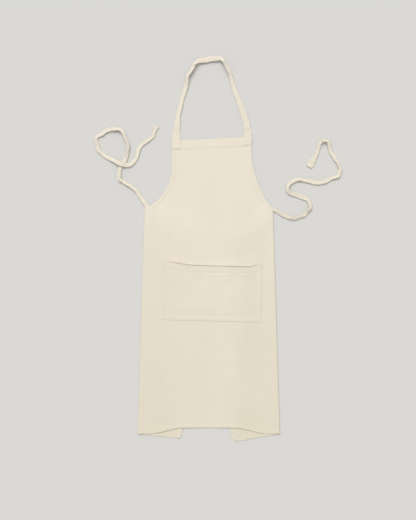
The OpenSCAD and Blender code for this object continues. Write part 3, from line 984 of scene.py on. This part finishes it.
def make_band(name, route, seed):
    """A closed band of cloth along the route, and the grid of its upper side for the stitches."""
    rings, tops, run = band_rings(route, seed)
    count, around = rings.shape[:2]
    faces = [face[::-1] for face in grid_faces(count, around, wrap=True)]
    faces += [tuple(range(around)), tuple(range((count - 1) * around, count * around))[::-1]]
    u = np.linspace(0, 2 * STRAP_W, around)[None, :] + 0 * run[:, None]
    v = run[:, None] + 0 * u
    obj = mesh_object(name, rings.reshape(-1, 3), faces, np.stack([u, v], -1).reshape(-1, 2), TAPE)
    soften(obj, 60)
    return obj, tops, run


print("a band has", 2 * (BAND_CELLS + 1), "points round each ring")

# %% [markdown]
# The routes. The neck loop is given as shares of its span and height, because both ends have to
# meet the bib's corners; it starts and ends behind the bib hem, where it is sewn. The ties are
# given in millimetres from the waist corner they leave, and begin a little inside it.

# %% Lay the neck strap and the ties
LOOP_H = 0.246
LOOP_IN = STRAP_W / 2 + 0.001
LOOP_CLEAR = 0.004
NECK_ROUTE = [
    (0.000, -0.110, 0.0, 0, 23), (0.000, -0.060, 0.0, 0, 23),
    (0.000, 0.000, 0.2, 0, 22.5), (0.000, 0.05, 0, 0, 21), (0.004, 0.13, 0, -8, 19),
    (0.022, 0.27, 0, -15, 14), (0.060, 0.42, 0, -20, 12.5), (0.108, 0.57, 0, -15, 12.5),
    (0.143, 0.69, 1, -25, 11), (0.163, 0.77, 3, -40, 9), (0.205, 0.83, 5, -40, 9.5),
    (0.240, 0.88, 6, -35, 11.5), (0.270, 0.92, 7, -30, 10), (0.330, 0.955, 5, -20, 14.5),
    (0.440, 0.966, 3, -15, 16), (0.550, 0.972, 4, -15, 15.5), (0.622, 0.965, 6, -20, 13),
    (0.663, 0.930, 7, -35, 9.5), (0.688, 0.885, 5, -40, 8.5), (0.742, 0.80, 3, -30, 10.5),
    (0.783, 0.68, 1, -15, 12.5), (0.838, 0.54, 0, 0, 14.5), (0.893, 0.40, 0, 8, 16),
    (0.955, 0.25, 0, 12, 18.5), (0.988, 0.13, 0, 6, 18), (0.999, 0.05, 0, 0, 21),
    (1.000, 0.000, 0.2, 0, 22.5), (1.000, -0.060, 0.0, 0, 23), (1.000, -0.110, 0.0, 0, 23),
]
TIE_ROUTES = {
    -1: [
        (14, -10, 0.9, 0, 15), (8, 1, 0.9, 0, 15), (4, 8, 0.9, 0, 14.5), (-3, 19, 0.9, 0, 13),
        (-13, 33, 0, 10, 12), (-28, 54, 0, 15, 10.5), (-47, 69, 0, 20, 10), (-63, 79, 0, 30, 11),
        (-76, 87, 0, 40, 9), (-79, 100, 0, 35, 10), (-77, 115, 0, 15, 10.5), (-72, 131, 0, 5, 12),
        (-61, 147, 0, 15, 11), (-53, 168, 0, 20, 9), (-52, 190, 1, 25, 9), (-60, 213, 2, 20, 9),
        (-72, 233, 3, 15, 9.5), (-91, 238, 3, 15, 9.5), (-111, 235, 2, 15, 12),
        (-130, 224, 1, 20, 12), (-146, 214, 0, 10, 9), (-146, 198, 0, -10, 9),
        (-139, 175, 0, -15, 10), (-126, 160, 0, -10, 10.5), (-107, 149, 2, -5, 11),
        (-88, 141, 6, 0, 11), (-73, 133, 7.5, 0, 12), (-56, 129, 3, -10, 12),
        (-38, 136, 0, -15, 11.5), (-27, 152, 0, -15, 10.5), (-23, 174, 0, -20, 11.5),
        (-13, 189, 0, -10, 12), (5, 202, 0, 0, 11.5), (21, 216, 0, 5, 12), (26, 231, 0, 0, 10),
        (34, 247, 0, 0, 15),
    ],
    1: [
        (-15, 0, 0.9, 0, 14), (-6, 0, 0.9, 0, 13), (4, -3, 0.9, 0, 11), (17, -11, 0.6, 5, 10),
        (34, -20, 0, 15, 11), (53, -27, 0, 20, 10.5), (70, -30, 0, 15, 10), (84, -26, 0, 10, 10.5),
        (100, -15, 0, 20, 10.5), (112, -5, 0, 30, 9), (116, 7, 0, 20, 9), (110, 20, 0, 10, 10.5),
        (97, 31, 0, 0, 13), (80, 38, 0, -5, 13.5), (64, 43, 0, -30, 12), (50, 48, 0, -30, 9.5),
        (45, 58, 1, -20, 10), (49, 71, 2, -10, 9.5), (60, 81, 1, -10, 10), (78, 87, 0, -15, 9.5),
        (100, 84, 0, -20, 10.5), (119, 80, 0, -25, 12.5), (140, 77, 0, -25, 11),
        (160, 81, 0, -15, 11), (181, 91, 0, -10, 10), (196, 97, 0, -15, 9), (202, 108, 0, -10, 8.5),
        (202, 121, 0, 0, 8.5), (196, 137, 0, 10, 9), (181, 161, 0, 10, 12), (173, 179, 1, 5, 11),
        (168, 195, 3, 0, 9.5), (160, 202, 4, 0, 8.5), (150, 201, 4, 0, 8.5), (143, 195, 3, 0, 9.5),
        (139, 184, 1, 0, 11.5), (134, 169, 0, 0, 10.5), (127, 154, 0, 0, 14), (117, 136, 0, 0, 21),
        (111, 124, 0, 0, 17),
    ],
}
MM = 0.001


def neck_route():
    """The neck strap's route, spread between the bib's two corners."""
    start = np.array([BIB_X[-1] + LOOP_IN, bib_y(BIB_X[-1]) + LOOP_CLEAR])
    end = np.array([BIB_X[1] - LOOP_IN, bib_y(BIB_X[1]) + LOOP_CLEAR])
    route = []
    for across, up, lift, tilt, wide in NECK_ROUTE:
        x, y = start + (end - start) * across
        route.append((x, y + (LOOP_H - LOOP_CLEAR) * up, lift * MM, tilt, wide * MM))
    return route


def tie_route(side):
    """A tie's route, from its waist corner."""
    return [
        (side * WAIST_HALF + x * MM, SKIRT_H + y * MM, lift * MM, tilt, wide * MM)
        for x, y, lift, tilt, wide in TIE_ROUTES[side]
    ]


neck, neck_top, neck_run = make_band("neck_band", neck_route(), 3.3)
ties = {side: make_band(f"{SIDES[side]}_tie_band", tie_route(side), 6.1 * side) for side in SIDES}
print(f"neck strap {neck_run[-1]:.3f} m, ties", [round(float(run[-1]), 3) for _, _, run in ties.values()])

# %% [markdown]
# Between the layers, each tie runs on to the flank's far corner, where it is sewn down. That
# hidden stretch belongs to the flank and opens with it, so it is a piece of its own. It starts
# right beside the fold, where the two stay together however far the flank turns.

# %% Run the tie ends between the layers
def tie_root(side):
    """A tie's hidden end, which narrows towards the fold and follows the flank's top edge."""
    s = steps(0.002, (0.014, 0.001), (FLANK_W[side] - ROOT_IN, 0.004))
    top = flank_top(side, s)
    opened = smooth((s - 0.004) / 0.034)
    wide = STRAP_W * np.hypot(np.gradient(top, s), 1) * mix(0.35, 1, opened)
    upper = flank_line(side, s, top - ROOT_IN)
    lower = flank_line(side, s, top - ROOT_IN - wide)
    return strip(f"{SIDES[side]}_tie_end", upper, lower, on_flank(side, CLOTH_T + STRAP_T),
                 STRAP_T, TAPE, 8)


roots = {side: tie_root(side) for side in SIDES}
print("tie ends:", [o.name for o in roots.values()])

# %% [markdown]
# Every seam is a row of real stitches. One stitch is modelled by hand: a small ball, drawn out and
# flattened until it looks like a grain of rice. Then it is set down along each seam, over and over,
# with its length along the seam and a slight lean, as a lockstitch has.

# %% Model one stitch
STITCH_L = 0.0026
STITCH_GAP = 0.0008
STITCH_W = 0.00055

bpy.ops.object.select_all(action="DESELECT")
bpy.ops.mesh.primitive_uv_sphere_add(segments=6, ring_count=4, radius=0.5, rotation=(0, math.pi / 2, 0))
stitch = bpy.context.active_object
bpy.ops.object.transform_apply(location=False, rotation=True, scale=False)
bpy.ops.object.mode_set(mode="EDIT")
bpy.ops.mesh.select_all(action="SELECT")
bpy.ops.transform.resize(value=(STITCH_L, STITCH_W, STITCH_W * 0.8))
bpy.ops.object.mode_set(mode="OBJECT")

# The ball's points may come in any order, so they are sorted, and its faces with them
corners = sorted((tuple(round(c, 7) for c in v.co), v.index) for v in stitch.data.vertices)
rank = {index: k for k, (_, index) in enumerate(corners)}
rings = [[rank[k] for k in face.vertices] for face in stitch.data.polygons]
STITCH_POINTS = np.array([place for place, _ in corners])
STITCH_FACES = sorted(tuple(ring[ring.index(min(ring)):] + ring[:ring.index(min(ring))]) for ring in rings)
bpy.data.objects.remove(stitch)
print("one stitch:", len(STITCH_FACES), "faces")


# %% Sew along a line of points
def even_line(line, pitch):
    """Points along a line, one pitch apart."""
    run = np.concatenate([[0], np.cumsum(np.linalg.norm(np.diff(line, axis=0), axis=1))])
    even = np.arange(pitch / 2, run[-1], pitch)
    return np.stack([np.interp(even, run, line[:, k]) for k in range(3)], -1)


STITCH_LEAN = 0.10


def sew(name, lines, up=None, lean=STITCH_LEAN):
    """All the stitches of one seam as one object; up says which way a stitch faces."""
    points, faces = [], []
    for line in lines:
        line = np.asarray(line, float)
        middle = even_line(line, STITCH_L + STITCH_GAP)
        ahead = np.gradient(middle, axis=0) if len(middle) > 1 else (line[-1] - line[0])[None]
        ahead /= np.linalg.norm(ahead, axis=1)[:, None]
        for at, along in zip(middle, ahead):
            facing = np.array([0, 0, 1.0]) if up is None else up(at)
            across = np.cross(facing, along)
            across /= np.linalg.norm(across)
            along = along + across * lean
            frame_axes = np.stack([along, across, np.cross(along, across)])
            base = sum(len(p) for p in points)
            points.append(STITCH_POINTS @ frame_axes + at)
            faces += [tuple(base + k for k in face) for face in STITCH_FACES]
    points = np.concatenate(points)
    obj = mesh_object(name, points, faces, points[:, :2], THREAD)
    select_only(obj)
    bpy.ops.object.shade_smooth()
    return obj


print("stitches in 0.1 m of seam:", len(even_line(np.array([(0, 0, 0), (0.1, 0, 0)]), STITCH_L + STITCH_GAP)))

# %% [markdown]
# The seams: one row along every hem of the front, one round the pocket and one under its lip, rows
# round the flanks' hems, which show on both faces of the cloth, a box with a cross where each
# strap is sewn on, and a bar at each end of the pocket's mouth.

# %% Sew the front
PROUD = 0.00005
ON_TOP = CLOTH_T / 2 + PROUD


def on_front(x, y):
    """Points on top of the front's cloth."""
    return np.stack([x, y, front_z(x, y) + ON_TOP], -1)


def front_seams():
    x = np.linspace(BIB_X[-1] + HEM_BAND, BIB_X[1] - HEM_BAND, 120)
    seams = {"bib_seam": [on_front(x, bib_y(x) - BIB_BAND + BAND_SEAM)]}
    x = np.linspace(-HEM_HALF + HEM_BAND, HEM_HALF - HEM_BAND, 200)
    seams["hem_seam"] = [on_front(x, hem_y(x) + SEAM_IN)]
    for side, name in SIDES.items():
        line = offset_line(armhole_line(side, BIB_TOP - BIB_BAND - 0.002), side * SEAM_IN)
        seams[f"{name}_armhole_seam"] = [on_front(line[4:, 0], line[4:, 1])]
    return {name: sew(name, lines) for name, lines in seams.items()}


def crossed_box(middle, wide, high, turn=0.0):
    """The four sides and the two diagonals of a sewn box, as lines in the drawing."""
    a, b = wide / 2, high / 2
    corners = [(-a, -b), (a, -b), (a, b), (-a, b)]
    pairs = [(0, 1), (1, 2), (2, 3), (3, 0), (0, 2), (1, 3)]
    cos, sin = math.cos(turn), math.sin(turn)
    lines = []
    for i, j in pairs:
        line = np.linspace(corners[i], corners[j], 16)
        x = middle[0] + line[:, 0] * cos - line[:, 1] * sin
        y = middle[1] + line[:, 0] * sin + line[:, 1] * cos
        lines.append((x, y))
    return lines


def neck_tacks():
    lines = []
    for side in SIDES:
        x = BIB_X[side] - side * LOOP_IN
        box = crossed_box((x, bib_y(x) - STRAP_SEAT / 2 - 0.001), STRAP_W - 0.006, STRAP_SEAT - 0.008)
        lines += [on_front(*line) for line in box]
    return sew("neck_strap_boxes", lines)


front_rows = front_seams()
neck_boxes = neck_tacks()
print("front seams:", [len(o.data.polygons) for o in front_rows.values()], "faces")


# %% Sew the pocket
def on_pocket(p, q):
    """Points on top of the pocket's cloth."""
    x, y, z, _, _ = pocket_grid(p, q)
    return np.stack([x, y, z + ON_TOP], -1).reshape(-1, 3)


# The bars at the mouth's ends: their length and count, the gap between them, and their places
BAR_L = 0.0032
BARS = 9
BAR_GAP = 0.00075
BARS_FROM = (0.0045, POCKET_W - 0.0065)


def pocket_seams():
    """The seam round the pocket, the seam under its lip, and the bars."""
    p = np.linspace(POCKET_SEAM, POCKET_W - POCKET_SEAM, 140)
    q = np.linspace(POCKET_SEAM, POCKET_H - 0.001, 80)
    low = on_pocket(p, np.array([POCKET_SEAM]))
    sides = [on_pocket(np.array([a]), q) for a in (POCKET_SEAM, POCKET_W - POCKET_SEAM)]
    lip_at = POCKET_H - POCKET_BAND + BAND_SEAM
    lip = on_pocket(np.linspace(0.006, POCKET_W - 0.006, 150), np.array([lip_at]))
    bars = []
    for a in BARS_FROM:
        for k in range(BARS):
            at = np.array([POCKET_H - BAND_SEAM - k * BAR_GAP])
            bars.append(on_pocket(np.linspace(a, a + BAR_L, 4), at))
    return sew("pocket_seam", [low, *sides]), sew("pocket_lip_seam", [lip]), sew("pocket_bars", bars)


pocket_rows = pocket_seams()
print("pocket seams:", [len(o.data.polygons) for o in pocket_rows], "faces")


# %% Sew the flanks, on both faces
def flank_rows(side):
    """The seams along a flank's bottom, side and top, on its hems and on its other face."""
    edge = FLANK_W[side] - SEAM_IN
    s = np.linspace(HEM_BAND, edge, 50)
    t = np.linspace(flank_hem(side, FLANK_W[side]) + SEAM_IN, flank_top(side, FLANK_W[side]) - SEAM_IN, 220)
    arc = np.linspace(2 * HEM_BAND, edge, 50)
    bottom = (s, flank_hem(side, s) + SEAM_IN)
    top = (arc, flank_top(side, arc) - SEAM_IN)
    lines = []
    for a, b in (bottom, (np.full_like(t, edge), t), top):
        x, y = on_fold(side, a, b)
        z = flank_z(side, a, b)
        lines.append(np.stack([x, y, z + 1.5 * CLOTH_T], -1))
        lines.append(np.stack([x, y, z - 0.5 * CLOTH_T], -1))
    return sew(f"{SIDES[side]}_flank_seam", lines)


TIE_BOX = 0.016
BOX_TURN = 0.45


def tie_box(side):
    """The crossed box that holds a tie's hidden end to the flank's far corner."""
    s = FLANK_W[side] - ROOT_IN - STRAP_W / 2 - 0.003
    x, y = on_fold(side, s, flank_top(side, s) - ROOT_IN - STRAP_W / 2)
    height = on_flank(side, CLOTH_T + 1.5 * STRAP_T)
    box = crossed_box((x, y), TIE_BOX, TIE_BOX, side * BOX_TURN)
    return sew(f"{SIDES[side]}_tie_box", [np.stack([a, b, height(a, b)], -1) for a, b in box])


flank_seams = {side: flank_rows(side) for side in SIDES}
tie_boxes = {side: tie_box(side) for side in SIDES}
print("flank seams:", [len(o.data.polygons) for o in flank_seams.values()], "faces")


# %% Sew the straps along both edges
# The cells across a band where its two seams run
BAND_SEAMS = (2, BAND_CELLS - 2)


def band_seam(name, tops):
    """The rows of stitches along both edges of a band, on its upper side."""
    rows, facings = [], []
    for column in BAND_SEAMS:
        line = tops[4:-2, column]
        across = tops[4:-2, column + 1] - tops[4:-2, column - 1]
        facing = np.cross(np.gradient(line, axis=0), across)
        facing /= -np.linalg.norm(facing, axis=1)[:, None]
        rows.append(line + facing * PROUD)
        facings.append(facing)
    points, facings = np.concatenate(rows), np.concatenate(facings)

    def up(at):
        return facings[np.argmin(np.linalg.norm(points - at, axis=1))]

    return sew(name, rows, up=up, lean=0.0)


neck_seam = band_seam("neck_band_seam", neck_top)
tie_seams = {side: band_seam(f"{SIDES[side]}_tie_seam", tops) for side, (_, tops, _) in ties.items()}
print("strap seams:", len(neck_seam.data.polygons), [len(o.data.polygons) for o in tie_seams.values()])

# %% [markdown]
# Now the pieces are tied to the frame. The flanks' cloth, the neck strap and the ties, which cross
# a joint, are left where they lie, fixed in their meshes; the rest rides on its body. The plain
# solids that a piece stands for are hidden.

# %% Join the pieces to the bodies
def in_frame(x, y, z):
    """A point of the drawing, in the frame."""
    return tuple(PLACE + Vector((x, y, z)))


def give(obj, slot, *nodes):
    """Hide the plain solids, nodes, that a piece stands for; the piece and its finish, slot, are not used."""
    if nodes:
        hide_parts(*nodes)


front_pieces = [front, pocket, lip_hem, neck_boxes]
front_pieces += [*front_hems.values(), *front_rows.values(), *pocket_rows]
for obj in front_pieces:
    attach(obj, "front")
give(front, "linen_cloth", "front_panel")
give(pocket, "linen_cloth", "pocket_panel")
give(lip_hem, "hemmed_linen", "pocket_mouth_hem")
give(front_hems["bib"], "hemmed_linen", "bib_hem")
give(front_hems["bottom"], "hemmed_linen", "front_bottom_hem")
give(front_rows["bib_seam"], "sewing_thread", "bib_stitching")
give(front_rows["hem_seam"], "sewing_thread", "front_hem_stitching")
give(neck_boxes, "sewing_thread", "neck_strap_tacks")
for obj, node in zip(pocket_rows, ("pocket_seam_stitching", "pocket_mouth_stitching", "pocket_bartacks")):
    give(obj, "sewing_thread", node)
print("riding on the front:", len(front_pieces), "pieces")

# %% Leave the neck strap where it lies
for obj in (neck, neck_seam):
    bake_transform(obj)
give(neck, "strap_linen", "neck_strap", "neck_strap_ends")
give(neck_seam, "sewing_thread")

# %% Join the flanks and the ties
for side, name in SIDES.items():
    flank = f"{name}_flank"
    give(front_hems[side], "hemmed_linen", f"{name}_armhole_hem")
    give(front_rows[f"{name}_armhole_seam"], "sewing_thread", f"{name}_armhole_stitching")
    x, y = from_fold(side, 0.0, FOLD_LEN / 2)
    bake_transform(flanks[side], "front", flank, in_frame(x, y, Z_FOLD_HIGH), in_frame(x, y, Z_TURNED))
    give(flanks[side], "linen_cloth", flank)
    for place, band in side_hems[side].items():
        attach(band, flank)
        give(band, "hemmed_linen", f"{flank}_{place}_hem")
    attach(flank_seams[side], flank)
    give(flank_seams[side], "sewing_thread", f"{flank}_stitching")
    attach(roots[side], flank)
    give(roots[side], "strap_linen", f"{name}_tie_root")
    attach(tie_boxes[side], flank)
    give(tie_boxes[side], "sewing_thread", f"{name}_tie_tack")
    for obj in (ties[side][0], tie_seams[side]):
        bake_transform(obj)
    give(ties[side][0], "strap_linen", f"{name}_tie")
    give(tie_seams[side], "sewing_thread")

# %% [markdown]
# The flat areas that the front, without its flanks, and each flank were cut to are worked out and
# printed.

# %% Say what the cloth was cut to
def flat_area(x, y):
    """The area of a grid of points in its own plane."""
    px, py = np.diff(x, axis=1), np.diff(y, axis=1)
    qx, qy = np.diff(x, axis=0), np.diff(y, axis=0)
    return float(np.abs(px[:-1] * qy[:, :-1] - py[:-1] * qx[:, :-1]).sum())


def flank_area(side):
    """The area between a flank's bottom and top edges."""
    s = np.linspace(0, FLANK_W[side], 50)
    high = flank_top(side, s) - flank_hem(side, s)
    return float((high[:-1] + high[1:]).sum() / 2 * (s[1] - s[0]))


flat_area(*front_grid())
for side in SIDES:
    FLANK_W[side] + math.pi * ROLL
    flank_area(side)
print("cut areas in square metres: front", round(flat_area(*front_grid()), 3), "flanks",
      [round(flank_area(side), 3) for side in SIDES])

# %% [markdown]
# The studio: a wide, pale, even surface, a broad light high up, beyond the bib and a little to the
# left, and a bright room all round, so that shadows are short and soft and gather only right
# beside the cloth.

# %% Set up the floor
FLOOR_SIZE = 24
FLOOR_Z = -0.0004


def plain_floor():
    """A pale, even surface with a very faint grain."""
    made = Finish("pale_surface")
    x, y, _ = made.axes(made.node("ShaderNodeTexCoord", {}, output=3))
    grain = made.speckle(x * 60.0, y * 60.0)
    return made.done(
        Base_Color=made.blend(grain, (0.6455, 0.636, 0.611), (0.6575, 0.648, 0.623)),
        Roughness=0.95 - grain * 0.02,
        Specular_IOR_Level=0.1,
    )


bpy.ops.object.select_all(action="DESELECT")
bpy.ops.mesh.primitive_plane_add(size=FLOOR_SIZE, location=(0, 0, FLOOR_Z))
floor = bpy.context.active_object
floor.name = "floor"
floor.data.materials.append(plain_floor())
print("floor", [round(side, 1) for side in floor.dimensions], "m")

# %% Hang the light
SUN_TILT = (math.radians(-32), math.radians(-12), 0)
bpy.ops.object.light_add(type="SUN", rotation=SUN_TILT)
sun = bpy.context.active_object
sun.name = "softbox"
sun.data.energy = 1.99
sun.data.angle = math.radians(42)
sun.data.color = (1.0, 0.995, 0.985)

world = bpy.data.worlds.new("bright_room")
world.use_nodes = True
world.node_tree.nodes["Background"].inputs["Color"].default_value = (0.985, 0.992, 1.0, 1)
world.node_tree.nodes["Background"].inputs["Strength"].default_value = 0.56
bpy.context.scene.world = world
bpy.context.scene.view_settings.view_transform = "Standard"
print(f"sun {sun.data.energy:.2f}, spread over {math.degrees(sun.data.angle):.0f} degrees")

# %% [markdown]
# The camera looks straight down from 2.6 m with a normal lens, as over a laying-out table.

# %% Hang the camera over the table
# Its height, the middle and the height of what it sees, and its focal length in millimetres
CAMERA_UP = 2.6
VIEW_MIDDLE = (-0.0305, -0.0335)
VIEW_TALL = 1.56
LENS = 60
bpy.ops.object.camera_add(location=(*VIEW_MIDDLE, CAMERA_UP), rotation=(0, 0, 0))
camera = bpy.context.active_object
camera.data.lens = LENS
camera.data.sensor_width = LENS * VIEW_TALL / CAMERA_UP
camera.data.clip_end = 60
bpy.context.scene.camera = camera
print("the camera sees", VIEW_TALL, "m of the surface from", CAMERA_UP, "m")
